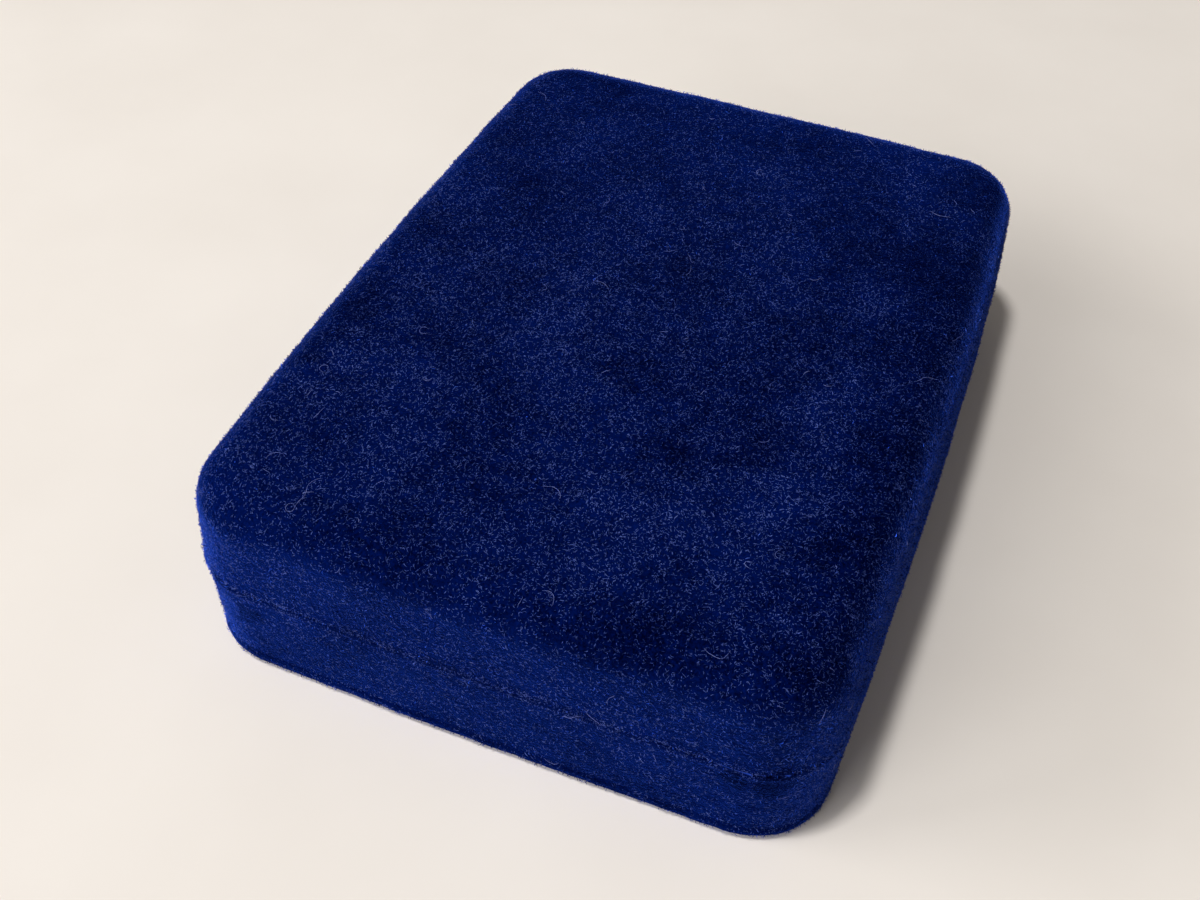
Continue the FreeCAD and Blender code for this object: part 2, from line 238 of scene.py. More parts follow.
def table_top():
    """Pale warm paint with a faint mottle, which runs out into the pale room far from the case."""
    finish = Finish("table_top")
    mottle = finish.grain(30 * MM, detail=4.0)
    colour = finish.blend(mottle, srgb(230, 224, 217), srgb(240, 235, 229))
    paint = finish.node("ShaderNodeBsdfPrincipled", sockets={"Base Color": colour, "Roughness": 0.9})
    haze = finish.node("ShaderNodeEmission", sockets={"Color": pale_room})
    away = finish.node("ShaderNodeVectorMath", {"operation": "LENGTH"}, {0: finish.place}, out="Value")
    share = finish.looked_at() * finish.band(away, *floor_fades)
    surface = finish.node("ShaderNodeMixShader", sockets={0: share, 1: paint, 2: haze})
    finish.node("ShaderNodeOutputMaterial", sockets={"Surface": surface})
    return finish.owner


floor_mesh = bpy.data.meshes.new("floor")
floor_corners = [(x * floor_reach, y * floor_reach, 0) for x, y in ((-1, -1), (1, -1), (1, 1), (-1, 1))]
floor_mesh.from_pydata(floor_corners, [], [(0, 1, 2, 3)])
floor_mesh.materials.append(table_top())
floor = bpy.data.objects.new("floor", floor_mesh)
scene.collection.objects.link(floor)
print("table top in metres:", 2 * floor_reach)

# %% Lamps
lamp_colour = (1.0, 0.98, 0.96)


def lamp(name, place, width, power, spread):
    """A square soft lamp that faces the case and spreads its light over this angle in degrees."""
    light = bpy.data.lights.new(name, "AREA")
    light.size = width
    light.energy = power
    light.spread = math.radians(spread)
    light.color = lamp_colour
    made = bpy.data.objects.new(name, light)
    made.location = place
    made.rotation_euler = (-Vector(place)).to_track_quat("-Z", "Y").to_euler()
    scene.collection.objects.link(made)


lamp("key_lamp", (-0.13, -0.2, 0.87), width=0.09, power=4.2, spread=180)
lamp("front_lamp", (-0.84, -1.6, 0.9), width=1.2, power=6.4, spread=100)
lamp("left_lamp", (-1.7, -0.7, 0.8), width=1.0, power=6.0, spread=100)

# %% The room
glow_colour = (1.0, 0.94, 0.88, 1.0)
glow_strength = 0.16

room = Finish("room", bpy.data.worlds)
glow = room.node("ShaderNodeBackground", sockets={"Color": glow_colour, "Strength": glow_strength})
backdrop = room.node("ShaderNodeBackground", sockets={"Color": pale_room})
around = room.node("ShaderNodeMixShader", sockets={0: room.looked_at(), 1: glow, 2: backdrop})
room.node("ShaderNodeOutputWorld", sockets={"Surface": around})
scene.world = room.owner
scene.view_settings.view_transform = "Standard"
print("room light:", glow_strength)

# %% [markdown]
# ## The velvet finish
#
# Velvet is a forest of upright fibres. Seen along the fibres it swallows light, and seen across them
# it glows, so the case is darkest where it faces you and brightest round its outline. The sheen layer
# of the surface shader does just that. The nap is also pushed about by handling, so patches look darker
# or lighter, and three sizes of noise stand for that. The colour also carries painted light and shade: the
# top is darker in a strip along its front edge and along its right edge, and lighter in a band behind the
# front edge, and the walls are lighter. A few marks each have a centre, a radius in millimetres and a
# change of the nap. They paint shade at the front corners below the seam and low on the front, paint light
# on the front of the lid at the left, and lighten two patches on the top near the front.

# %% Marks in the nap, with painted light and shade
front_edge = case_low.y / MM
right_edge = case_high.x / MM
top_face = case_high.z / MM
nap_and_painted_light_marks = (
    # Painted shade: dark spots at the two front corners, just below the seam.
    ((-28.5, front_edge, 9.5), 2.6, -0.5),
    ((-31.0, front_edge + 2, 13.0), 2.2, -0.5),
    ((28.2, front_edge, 11.8), 2.0, -0.5),
    ((32.3, front_edge + 1.5, 11.6), 3.0, -0.5),
    # Painted light: lighter on the front of the lid at the left.
    ((-24.0, front_edge, 16.5), 11.0, 0.14),
    # Painted shade: darker low on the front.
    ((4.0, front_edge, 6.0), 15.0, -0.12),
    # Two lighter patches on the top near the front corners.
    ((-26.0, front_edge + 10, top_face), 13.0, 0.08),
    ((25.5, front_edge + 12, top_face), 9.0, 0.08),
)
mark_core = 0.4
mark_fray = 3 * MM
print("marks in the nap:", len(nap_and_painted_light_marks))

# %% Velvet
seam = (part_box("lid_velvet")[0].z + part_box("base_velvet")[1].z) / 2
stroke_size, tuft_size, fibre_size = 14 * MM, 2.2 * MM, 0.36 * MM
stroke_share, tuft_share, fibre_share = 0.7, 0.4, 1.1
top_slope, wall_slope = (0.5, 0.95), (0.5, 0.2)
# Painted shade darkens strips along the front and right edges of the top, a band behind the front edge is
# a little lighter, and painted light makes the walls lighter.
right_painted_shade, front_painted_shade, third_lightening, wall_painted_light = 0.09, 0.06, 0.04, 0.07
front_strip_ends = [(front_edge + away) * MM for away in (9, 5)]
front_third_ends = [(front_edge + away) * MM for away in (34, 18)]
right_strip_ends = [(right_edge - away) * MM for away in (15, 6)]
nap_range = (0.75, 1.45)
calm_seam, rough_wall = 0.4 * MM, 0.9 * MM
hollow_shade = 0.26


def velvet(name, deep, lit, sheen_tint, sheen, relief=None, hollow=None):
    """Pile cloth from a deep colour where the nap stands up to a lit one where it lies over.

    relief is the depth of its bumps, and hollow two heights between which painted shade darkens it
    downwards.
    """
    finish = Finish(name)
    strokes = finish.grain(stroke_size, detail=3.0)
    tufts = finish.grain(tuft_size, detail=2.0)
    fibres = finish.grain(fibre_size, detail=3.0, roughness=0.7)
    across, along, height = finish.parts(finish.place)
    upright = finish.parts(finish.node("ShaderNodeTexCoord", out="Normal"))[2]
    on_top = finish.band(upright, *top_slope)
    on_wall = finish.band(upright, *wall_slope)
    front_strip = finish.band(along, *front_strip_ends)
    front_third = finish.band(along, *front_third_ends)
    right_strip = finish.band(across, *right_strip_ends)
    # Painted shade on the top's front and right edges, and painted light on the walls.
    strips = right_painted_shade * right_strip + front_painted_shade * front_strip - third_lightening * front_third
    painted_light_and_shade = on_top * strips - wall_painted_light * on_wall
    nap = stroke_share * strokes + tuft_share * tufts + fibre_share * fibres - painted_light_and_shade
    # The marks paint shade and light into the nap's colour.
    for centre, radius, change in nap_and_painted_light_marks:
        ends = {0: finish.place, 1: [part * MM for part in centre]}
        away = finish.node("ShaderNodeVectorMath", {"operation": "DISTANCE"}, ends, out="Value")
        ragged = away + mark_fray * (tufts - 0.5)
        nap = nap + change * finish.band(ragged, radius * MM, mark_core * radius * MM)
    # Painted shade: darker further down, in the recesses of the tray.
    if hollow:
        nap = nap - hollow_shade * finish.band(height, *hollow)
    surface = {"Sheen_Weight": sheen, "Sheen_Roughness": 0.3, "Sheen_Tint": sheen_tint}
    if relief:
        from_seam = (height - seam) * (height - seam)
        rough = finish.band(from_seam, calm_seam ** 2, rough_wall ** 2)
        surface["Normal"] = finish.bump(rough * (fibres - 0.5 + 0.4 * (tufts - 0.5)), relief)
    return finish.shade(
        Base_Color=finish.blend(finish.band(nap, *nap_range), deep, lit),
        Roughness=0.9,
        Specular_IOR_Level=0.0,
        **surface,
    )


sheen_blue = srgb(56, 103, 255)
ground_velvet = velvet("ground_velvet", srgb(0, 1, 22), srgb(1, 16, 76), sheen_blue, sheen=1.0,
                       relief=0.16 * MM)
print("velvet nodes:", len(ground_velvet.node_tree.nodes))

# %% [markdown]
# ## The cloth covers
#
# The measured cover is exact but smooth as glass. A voxel remesh rebuilds it as even quads, which is
# what displacement and fibres need. The side that is glued down is never seen, so a decimate step
# limited by a vertex group collapses it and spends the polygons where they show.

# %% Put a piece in the scene
def add_piece(name, mesh, material, body, stands_for=()):
    """Puts a new mesh in the scene on the body that carries it."""
    piece = bpy.data.objects.new(name, mesh)
    scene.collection.objects.link(piece)
    mesh.materials.clear()
    mesh.materials.append(material)
    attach(piece, body)
    if stands_for:
        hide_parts(*stands_for)
    return piece


def apply_modifiers(piece):
    """Makes an object's modifiers part of its mesh."""
    depsgraph = bpy.context.evaluated_depsgraph_get()
    old = piece.data
    piece.data = bpy.data.meshes.new_from_object(piece.evaluated_get(depsgraph))
    piece.modifiers.clear()
    bpy.data.meshes.remove(old)


# %% Rebuild a mesh
weld_distance = 0.0001 * MM


def welded_copy(node):
    """A node's mesh with its split corners joined, so that it is watertight."""
    mesh = nodes[node].data.copy()
    shape = bmesh.new()
    shape.from_mesh(mesh)
    bmesh.ops.remove_doubles(shape, verts=shape.verts, dist=weld_distance)
    shape.to_mesh(mesh)
    shape.free()
    return mesh


def even_quads(piece, voxel, smoothing):
    """Rebuilds a closed piece as quads of one size and takes the voxel steps off."""
    remesh = piece.modifiers.new("even", "REMESH")
    remesh.mode = "VOXEL"
    remesh.voxel_size = voxel
    remesh.use_smooth_shade = True
    smooth = piece.modifiers.new("soften", "SMOOTH")
    smooth.iterations = smoothing
    apply_modifiers(piece)


def thin_glued_side(piece, backing, reach, kept=0.04):
    """Collapses the points that lie within reach of the pieces behind the cloth."""
    depsgraph = bpy.context.evaluated_depsgraph_get()
    trees = [BVHTree.FromObject(nodes[node], depsgraph) for node in backing]
    glued = [point.index for point in piece.data.vertices
             if any(tree.find_nearest(point.co, reach)[0] for tree in trees)]
    group = piece.vertex_groups.new(name="glued")
    group.add(glued, 1.0, "REPLACE")
    thin = piece.modifiers.new("thin", "DECIMATE")
    thin.vertex_group = group.name
    thin.ratio = 1 - (1 - kept) * len(glued) / len(piece.data.vertices)
    apply_modifiers(piece)
    piece.vertex_groups.clear()


print("measured points in the lid's cover:", len(nodes["lid_velvet"].data.vertices))

# %% Points as arrays
def unit(vectors):
    """Vectors of length one."""
    return vectors / np.linalg.norm(vectors, axis=1)[:, None]


def points_of(mesh):
    """A mesh's points and their normals as two arrays."""
    places = np.empty(len(mesh.vertices) * 3, np.float32)
    normals = np.empty(len(mesh.vertices) * 3, np.float32)
    mesh.vertices.foreach_get("co", places)
    mesh.vertex_normals.foreach_get("vector", normals)
    return places.reshape(-1, 3).astype(float), normals.reshape(-1, 3).astype(float)


def ruffle(piece, waves, rise):
    """Moves points along their normals by rise and by smooth noise, but never into the table.

    waves lists (height, length).
    """
    places, normals = points_of(piece.data)
    rise = rise(places, normals)
    for height, length in waves:
        rise += height * np.array([noise.noise(Vector(place / length)) for place in places])
    places += normals * rise[:, None]
    places[:, 2] = np.maximum(places[:, 2], 0)
    piece.data.vertices.foreach_set("co", places.astype(np.float32).ravel())
    piece.data.update()


lid_size = np.ptp(points_of(nodes["lid_velvet"].data)[0], axis=0) / MM
print("the lid's cover in mm:", lid_size.round(1).tolist())

# %% Find places on the case
mouth_reach = 1.0 * MM
foot_reach = 2.0 * MM
corner_radius = 9.5 * MM
corner_centres = np.array(case_high[:2]) - corner_radius
case_middle = np.array([0.0, 0.0, seam])


def near_mouth(places):
    """True along the two edges of the seam."""
    return np.abs(places[:, 2] - seam) < mouth_reach


def at_foot(places, normals):
    """True on the rounded edge under the base."""
    return (places[:, 2] < foot_reach) & (normals[:, 2] < 0)


def wall_direction(places):
    """The level direction straight out through the nearest side or corner of the case."""
    nearest = np.clip(places[:, :2], -corner_centres, corner_centres)
    away = places[:, :2] - nearest + 1e-9
    return unit(np.column_stack((away, np.zeros(len(away)))))


def outward(places, normals):
    """True on the skin of the case and false on the cloth's glued side."""
    return np.sum((places - case_middle) * normals, axis=1) > 0


print("seam height in mm:", round(seam / MM, 2))

# %% Cover the two halves
cover_voxel = 0.45 * MM
cover_waves = ((0.10 * MM, 7 * MM), (0.06 * MM, 1.6 * MM))
glue_reach = 0.25 * MM
pile_height = 0.15 * MM
mouth_fill, edge_fill = 0.1 * MM, 0.14 * MM
foot_bulge = 0.5 * MM


def ground_level(places, normals):
    """The woven ground lies a pile's height under the measured skin.

    It fills out along the seam, and at the foot, where the cloth bulges on the table.
    """
    steep = np.minimum(np.abs(normals[:, 2]), 1)
    turned = 2 * steep * np.sqrt(1 - steep ** 2)
    mouth = np.where(near_mouth(places), 1, 0)
    foot = np.where(at_foot(places, normals), 1, 0)
    sunk = np.where(outward(places, normals), -pile_height * (1 - mouth * steep), 0)
    return sunk + mouth * (mouth_fill * steep + edge_fill * turned) + foot * foot_bulge * turned


covers = {}
for half in ("lid", "base"):
    node = f"{half}_velvet"
    cover = add_piece(f"{half}_cover", welded_copy(node), ground_velvet, half, [node])
    even_quads(cover, cover_voxel, smoothing=2)
    thin_glued_side(cover, [f"{half}_shell", f"{half}_rim"], glue_reach)
    ruffle(cover, cover_waves, ground_level)
    covers[half] = cover
    print(cover.name, "faces:", len(cover.data.polygons))

# %% [markdown]
# ## The lie of the nap
#
# Pile doesn't stand quite straight: it leans where it was last stroked, and that alone turns a wall
# lighter or darker. Custom normals say so without moving a point. They also let the pile hide the seam:
# along both of its edges the normals stay those of the wall, and turn up or down only further in, on the
# faces that meet when the case is shut.

# %% Lean the nap
nap_flow = np.array([0.0, -0.7, -0.7])
lid_lean, base_lean, foot_lean = 0.12, -0.03, -0.1
lid_draft, base_draft = 0.065, -0.045
lip_width = 0.4 * MM
wall_face, level_face = 0.8, 0.85
mouth_turn, foot_turn = -0.3, 0.1


def round_middle(places):
    """Angles and distances of points round the middle of the case, seen from above."""
    return np.arctan2(places[:, 1], places[:, 0]), np.hypot(places[:, 0], places[:, 1])


def seam_outline(cover):
    """The outline of a cover along the seam, as angles in order and the distance at each."""
    places, normals = points_of(cover.data)
    skin = near_mouth(places) & (np.sum(wall_direction(places) * normals, axis=1) > wall_face)
    angles, distances = round_middle(places[skin])
    order = np.argsort(angles)
    return angles[order], distances[order]


outline = seam_outline(covers["lid"])


def nap_normals(places, normals):
    """Normals of the pile, which leans forwards over the top and down the walls of the lid.

    Along the seam and at the foot it stands out as it does on the wall beside them, so that the two
    halves run into each other and the foot into the table.
    """
    upper = places[:, 2] > seam
    wall = wall_direction(places)
    faces_out = np.sum(wall * normals, axis=1)
    angles, distances = round_middle(places)
    inside = np.interp(angles, *outline, period=math.tau) - distances
    lip = np.where(np.abs(normals[:, 2]) > level_face, lip_width / 2, lip_width)
    within = near_mouth(places) * np.clip(inside / lip - 1, 0, 1)
    wall *= (1 - within)[:, None]
    wall[:, 2] = np.where(upper, lid_draft - within, base_draft + within)
    mouth_edge = near_mouth(places) & (faces_out > mouth_turn)
    foot_edge = at_foot(places, normals) & (faces_out > foot_turn)
    normals = np.where((mouth_edge | foot_edge)[:, None], unit(wall), normals)
    flow = nap_flow - normals * (normals @ nap_flow)[:, None]
    lean = np.where(upper, lid_lean, np.interp(places[:, 2], (0, seam), (foot_lean, base_lean)))
    return unit(normals + lean[:, None] * flow)


for cover in covers.values():
    cover.data.normals_split_custom_set_from_vertices(nap_normals(*points_of(cover.data)).tolist())
print("points along the seam:", len(outline[0]))

# %% [markdown]
# ## The pile
#
# Up close the velvet shows short fibres lying every way on a dark ground, which no bump can give. Where
# their tips catch the light they look pale, and most fibres here have that pale colour: a painted glint.
# Hair isn't a mesh, so each fibre is a closed sliver with a bend in it: a root, three corners half way
# and a tip, six faces in all. Roots are strewn over the cover by area. Each fibre borrows the normal of
# the cloth under it, turned a little, so the pile takes light as one cloth with a grain, and not as
# thousands of glittering facets.

# %% Strew points
def scatter(mesh, count, wanted, rng):
    """Random points on a mesh, spread by area and by the share that wanted(places, normals) gives."""
    mesh.calc_loop_triangles()
    corners = np.empty(len(mesh.loop_triangles) * 3, np.int32)
    mesh.loop_triangles.foreach_get("vertices", corners)
    corners = corners.reshape(-1, 3)
    places, normals = points_of(mesh)
    a, b, c = (places[corners[:, k]] for k in range(3))
    area = np.linalg.norm(np.cross(b - a, c - a), axis=1) / 2
    facing = normals[corners].mean(axis=1)
    area = area * wanted((a + b + c) / 3, facing)
    chosen = rng.choice(len(area), count, p=area / area.sum())
    along = np.sqrt(rng.random(count))[:, None]
    aside = rng.random(count)[:, None]
    spots = (1 - along) * a[chosen] + along * (1 - aside) * b[chosen] + along * aside * c[chosen]
    return spots, unit(facing[chosen])


def sideways(upright, rng):
    """A random direction across each upright one."""
    turned = rng.normal(size=upright.shape)
    return unit(turned - upright * np.sum(turned * upright, axis=1)[:, None])


def varied(count, rng):
    """Random shares from 0.6 to 1.4, so that no two fibres are alike."""
    return 0.6 + 0.8 * rng.random(count)


print("three varied shares:", varied(3, np.random.default_rng(0)).round(2).tolist())

# %% Plant fibres
fibre_turn, fibre_curl = 0.3, 0.8
least_lean = 0.4
near_upright = 0.9
sliver_corners = 5
sliver_faces = np.array([(0, 2, 1), (0, 3, 2), (0, 1, 3), (4, 1, 2), (4, 2, 3), (4, 3, 1)])


def slivers(name, roots, bends, tips, width, shading):
    """One mesh of closed slivers, each with three corners round its bend and one normal for shading.

    At the foot of the case those that would enter the table are turned up.
    """
    count = len(roots)
    along = unit(tips - roots)
    helper = np.where(np.abs(along[:, 2:]) < near_upright, (0, 0, 1), (1, 0, 0))
    across = unit(np.cross(along, helper))
    beside = np.cross(along, across)
    points = np.empty((count, sliver_corners, 3))
    points[:, 0] = roots
    points[:, -1] = tips
    for corner in range(3):
        angle = 2 * math.pi * corner / 3
        outwards = math.cos(angle) * across + math.sin(angle) * beside
        points[:, corner + 1] = bends + width[:, None] * outwards
    points[:, :, 2] = np.abs(points[:, :, 2])
    faces = (np.arange(count)[:, None, None] * sliver_corners + sliver_faces).reshape(-1, 3)
    mesh = bpy.data.meshes.new(name)
    mesh.from_pydata(points.reshape(-1, 3).tolist(), [], faces.tolist())
    mesh.shade_smooth()
    mesh.normals_split_custom_set_from_vertices(np.repeat(shading, sliver_corners, axis=0).tolist())
    return mesh


def pile(name, cover, count, length, width, lean, wanted, seed):
    """Fibres over a cover. lean is how far they may lean from upright, as a tangent."""
    rng = np.random.default_rng(seed)
    spots, upright = scatter(cover.data, count, wanted, rng)
    reach = length * varied(count, rng)[:, None]
    heading = sideways(upright, rng)
    leans = lean * (least_lean + (1 - least_lean) * rng.random(count))
    way = unit(upright + heading * leans[:, None])
    curl = sideways(upright, rng) * (fibre_curl * reach * rng.random((count, 1)))
    bends = spots + 0.5 * reach * way
    tips = spots + reach * way + curl
    thickness = width * varied(count, rng) / 2
    shading = unit(nap_normals(spots, upright) + fibre_turn * rng.normal(size=upright.shape))
    return slivers(name, spots - upright * width, bends, tips, thickness, shading)


print("faces in a fibre:", len(sliver_faces))

# %% [markdown]
# ## Where fibres lie
#
# Pile isn't the same all over. Along the seam it is thick enough to close the gap between the two halves,
# and towards the back it thins out. The faces that only meet when the case is shut have a short pile of
# their own. A function gives each place its share, and the strewing follows that.

# %% Share out the pile
back_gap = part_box("hinge_pin")[0].y
hinge_gap_reach = 3 * MM
hinge_gap_face, mouth_face, under_face = 0.3, 0.8, -0.8
fringe_reach = 0.7 * MM
fringe_share, back_share = 2.0, 0.4
# The right wall gets extra pale fibres, a painted sheen.
right_painted_sheen, front_loss = 0.8, 0.3


def hidden_when_shut(places, normals):
    """True on the faces that meet when the case is shut or open: the mouth and the gap at the hinge."""
    steep = np.abs(normals[:, 2])
    from_seam = np.abs(places[:, 2] - seam)
    hinge_gap = (places[:, 1] > back_gap) & (from_seam < hinge_gap_reach) & (steep > hinge_gap_face)
    return hinge_gap | (near_mouth(places) & (steep > mouth_face))


def outer_pile(places, normals):
    """How thickly fibres lie on the skin that shows when shut.

    They are thick along the seam and thin at the back, and thicker on the right wall than on the front:
    the extra pale fibres there paint a sheen.
    """
    underneath = (normals[:, 2] < under_face) & (places[:, 2] < seam)
    shows = outward(places, normals) & ~underneath & ~hidden_when_shut(places, normals)
    share = np.interp(places[:, 1], (0, case_high.y), (1.0, back_share))
    share *= 1 + right_painted_sheen * np.maximum(normals[:, 0], 0) + front_loss * np.minimum(normals[:, 1], 0)
    return shows * np.where(np.abs(places[:, 2] - seam) < fringe_reach, fringe_share, share)


for half, cover in covers.items():
    print(half, "points with pile:", np.count_nonzero(outer_pile(*points_of(cover.data))))

# %% Pile on the two halves
deep_pile = velvet("deep_pile", srgb(0, 2, 28), srgb(3, 22, 88), sheen_blue, sheen=1.0)
# The pale pile is a painted glint: the light on fibre tips is painted into its colour.
painted_glint_pile = velvet("painted_glint_pile", srgb(3, 18, 80), srgb(88, 106, 180), srgb(80, 120, 255), sheen=0.8)
pile_layers = (
    ("under", deep_pile, 0.32 * MM, 0.09 * MM, 1.6),
    ("lying", painted_glint_pile, 0.36 * MM, 0.07 * MM, 4.0),
    ("loose", painted_glint_pile, 0.32 * MM, 0.055 * MM, 7.0),
    ("fine", painted_glint_pile, 0.26 * MM, 0.05 * MM, 5.0),
)
pile_counts = {"lid": 33000, "base": 13000}
mouth_count = 12000
for half, count in pile_counts.items():
    for seed, (layer, finish, length, width, lean) in enumerate(pile_layers):
        name = f"{half}_{layer}_pile"
        mesh = pile(name, covers[half], count, length, width, lean, outer_pile, seed)
        add_piece(name, mesh, finish, half)
    name = f"{half}_mouth_pile"
    mesh = pile(name, covers[half], mouth_count, length=0.16 * MM, width=0.06 * MM, lean=2.0,
                wanted=hidden_when_shut, seed=5)
    add_piece(name, mesh, deep_pile, half)
    print(half, "fibres:", count * len(pile_layers))

# %% [markdown]
# ## Lint
#
# Velvet gathers stray fibres, and a few pale curls on the top give away its scale. Each one is a path
# that wanders over the cloth: it steps forwards, turns a little and drops back to the surface. A curve
# with a bevel would also do, but one mesh of thin three-sided threads holds them all.

# %% Threads of lint
lint_step = 0.3 * MM
lint_lift = 0.22 * MM
slant = (0.3, 0.5, 0.8)


def wander(tree, place, heading, turns):
    """Points along the cloth from a place, turning by each angle in turns."""
    path = []
    for turn in turns:
        place, normal, _, _ = tree.find_nearest(place)
        path.append(np.array(place + normal * lint_lift))
        heading = Matrix.Rotation(turn, 3, normal) @ heading
        heading = (heading - normal * heading.dot(normal)).normalized()
        place = place + heading * lint_step
    return np.array(path)


def threads(name, paths, radius):
    """One mesh of three-sided threads that thin out towards both ends.

    Those that would enter the table are turned up.
    """
    points = []
    faces = []
    for path in paths:
        first = len(points)
        along = unit(np.gradient(path, axis=0))
        across = unit(np.cross(along, slant))
        beside = np.cross(along, across)
        taper = radius * np.sqrt(np.sin(math.pi * (np.arange(len(path)) + 0.5) / len(path)))[:, None]
        rings = [path + taper * (math.cos(turn) * across + math.sin(turn) * beside)
                 for turn in (0, math.tau / 3, 2 * math.tau / 3)]
        corners = np.stack(rings, axis=1).reshape(-1, 3)
        corners[:, 2] = np.abs(corners[:, 2])
        points += corners.tolist()
        for ring in range(first, len(points) - 3, 3):
            sides = ((ring, ring + 1), (ring + 1, ring + 2), (ring + 2, ring))
            faces += [(left, right, right + 3, left + 3) for left, right in sides]
        faces += [(first + 2, first + 1, first), tuple(range(len(points) - 3, len(points)))]
    mesh = bpy.data.meshes.new(name)
    mesh.from_pydata(points, [], faces)
    mesh.shade_smooth()
    return mesh


print("lint steps in mm:", round(lint_step / MM, 2))

# %% Strew lint
lint_radius = 0.022 * MM
fewest_steps, more_steps, most_more = 3, 3, 9
lint_turn = 0.25
lint_loop_place = Vector((-22.5, -46.5, 25.5)) * MM
lint_loop_heading = Vector((0.4, 1, 0))
lint_loop_turns = [0.62] * 11 + [-0.1] * 4 + [0.15] * 5 + [-0.2] * 9


def lint(name, half, count, seed):
    """Curls strewn over a cover, with one larger loop on the lid."""
    rng = np.random.default_rng(seed)
    tree = BVHTree.FromObject(covers[half], bpy.context.evaluated_depsgraph_get())
    spots, upright = scatter(covers[half].data, count, outer_pile, rng)
    headings = sideways(upright, rng)
    paths = []
    for spot, heading in zip(spots, headings):
        steps = fewest_steps + min(int(rng.exponential(more_steps)), most_more)
        turns = rng.normal(rng.normal(0, lint_turn), lint_turn, size=steps)
        paths.append(wander(tree, Vector(spot), Vector(heading), turns))
    if half == "lid":
        paths.append(wander(tree, lint_loop_place, lint_loop_heading, lint_loop_turns))
    return threads(name, paths, lint_radius)


lint_finish = velvet("lint", srgb(70, 82, 156), srgb(140, 150, 210), srgb(130, 155, 255), sheen=0.5)
for half, count in (("lid", 130), ("base", 40)):
    name = f"{half}_lint"
    add_piece(name, lint(name, half, count, seed=11), lint_finish, half)
    print(half, "lint curls:", count)

# %% [markdown]
# ## The tray lining
#
# Inside, the tray has a shorter, closer velvet pressed into its recesses. It is made as the covers were:
# even quads, a thin glued side, soft waves and fibres on the side that shows. Its colour is darker further
# down in the recesses: painted shade.

# %% Line the tray
tray_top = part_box("tray_velvet")[1].z
# The heights between which painted shade darkens the lining downwards.
hollow = (tray_top - 0.5 * MM, tray_top - 5 * MM)
lining_velvet = velvet("lining_velvet", srgb(2, 8, 44), srgb(14, 44, 128), sheen_blue, sheen=0.7,
                       relief=0.06 * MM, hollow=hollow)
# Pale lining fibres, a painted glint like the pale pile on the covers.
lining_painted_glints = velvet("lining_painted_glints", srgb(3, 14, 66), srgb(70, 88, 168), sheen_blue, sheen=0.7,
                       hollow=hollow)
lining_voxel = 0.4 * MM
lining_waves = ((0.05 * MM, 6 * MM), (0.03 * MM, 1.4 * MM))
lining_depth = 0.3 * MM

lining_mesh = welded_copy("tray_velvet")
lining = add_piece("tray_lining", lining_mesh, lining_velvet, "base", ["tray_velvet"])
even_quads(lining, lining_voxel, smoothing=3)
thin_glued_side(lining, ["tray_block"], glue_reach)
ruffle(lining, lining_waves, lambda places, normals: np.zeros(len(places)))
print("tray lining faces:", len(lining.data.polygons))

# %% Pile on the lining
lining_count = 33000
tray_tree = BVHTree.FromObject(nodes["tray_block"], bpy.context.evaluated_depsgraph_get())


def lining_pile(places, normals):
    """True on the side of the lining that shows."""
    return np.array([tray_tree.find_nearest(Vector(place))[3] > lining_depth for place in places])


for layer, finish, seed in (("deep", lining_velvet, 7), ("pale", lining_painted_glints, 8)):
    name = f"tray_{layer}_pile"
    mesh = pile(name, lining, lining_count, length=0.26 * MM, width=0.06 * MM, lean=2.0,
                wanted=lining_pile, seed=seed)
    add_piece(name, mesh, finish, "base")
print("tray fibres:", 2 * lining_count)

# %% [markdown]
# ## The satin cushion
#
# The lid holds a pad of foam under ivory satin. A crowned block would look carved, so the pad is blown
# up by the cloth solver: it starts as the foam's own shape, is held along the card behind it and round
# the notch for the spring, and air pressure swells it while spare cloth gathers into small puckers.
# The solver expects furniture, so the pad is simulated ten times too large and shrunk afterwards.

# %% Satin and foam
def satin():
    """Ivory satin: long floats along the cloth, a fine weft across it."""
    finish = Finish("ivory_satin")
    floats = finish.grain(0.22 * MM, detail=1.0, stretch=(1, 0.05, 0.3))
    weft = finish.grain(0.3 * MM, detail=1.0, stretch=(0.12, 1, 1))
    aged = finish.grain(22 * MM, detail=3.0)
    colour = finish.blend(finish.band(aged, 0.35, 0.7), srgb(236, 226, 204), srgb(222, 208, 178))
    return finish.shade(
        Base_Color=finish.blend(0.35 * floats, colour, srgb(250, 244, 230)),
        Roughness=0.3 + 0.22 * weft,
        Specular_IOR_Level=0.6,
        Sheen_Weight=0.25,
        Sheen_Roughness=0.4,
        Sheen_Tint=srgb(255, 246, 226),
        Normal=finish.bump(floats + 0.5 * weft, 0.012 * MM),
    )


def open_foam():
    """Cream foam, pitted by its cut cells, with painted shade in the pits."""
    finish = Finish("open_foam")
    pits = finish.band(finish.cells(0.5 * MM), 0.45, 0.1)
    yellowed = finish.grain(12 * MM, detail=3.0)
    colour = finish.blend(yellowed, srgb(238, 226, 190), srgb(220, 198, 146))
    return finish.shade(
        # Painted shade darkens the pits.
        Base_Color=finish.blend(0.6 * pits, colour, srgb(150, 124, 82)),
        Roughness=0.95 - 0.05 * yellowed,
        Normal=finish.bump(1 - pits, 0.15 * MM),
    )


ivory_satin = satin()
cream_foam = open_foam()
print("satin nodes:", len(ivory_satin.node_tree.nodes), "foam nodes:", len(cream_foam.node_tree.nodes))

# %% Blow up a pad
cushion_scale = 10.0
cushion_limit = 1.1 * MM
cushion_frames = 18


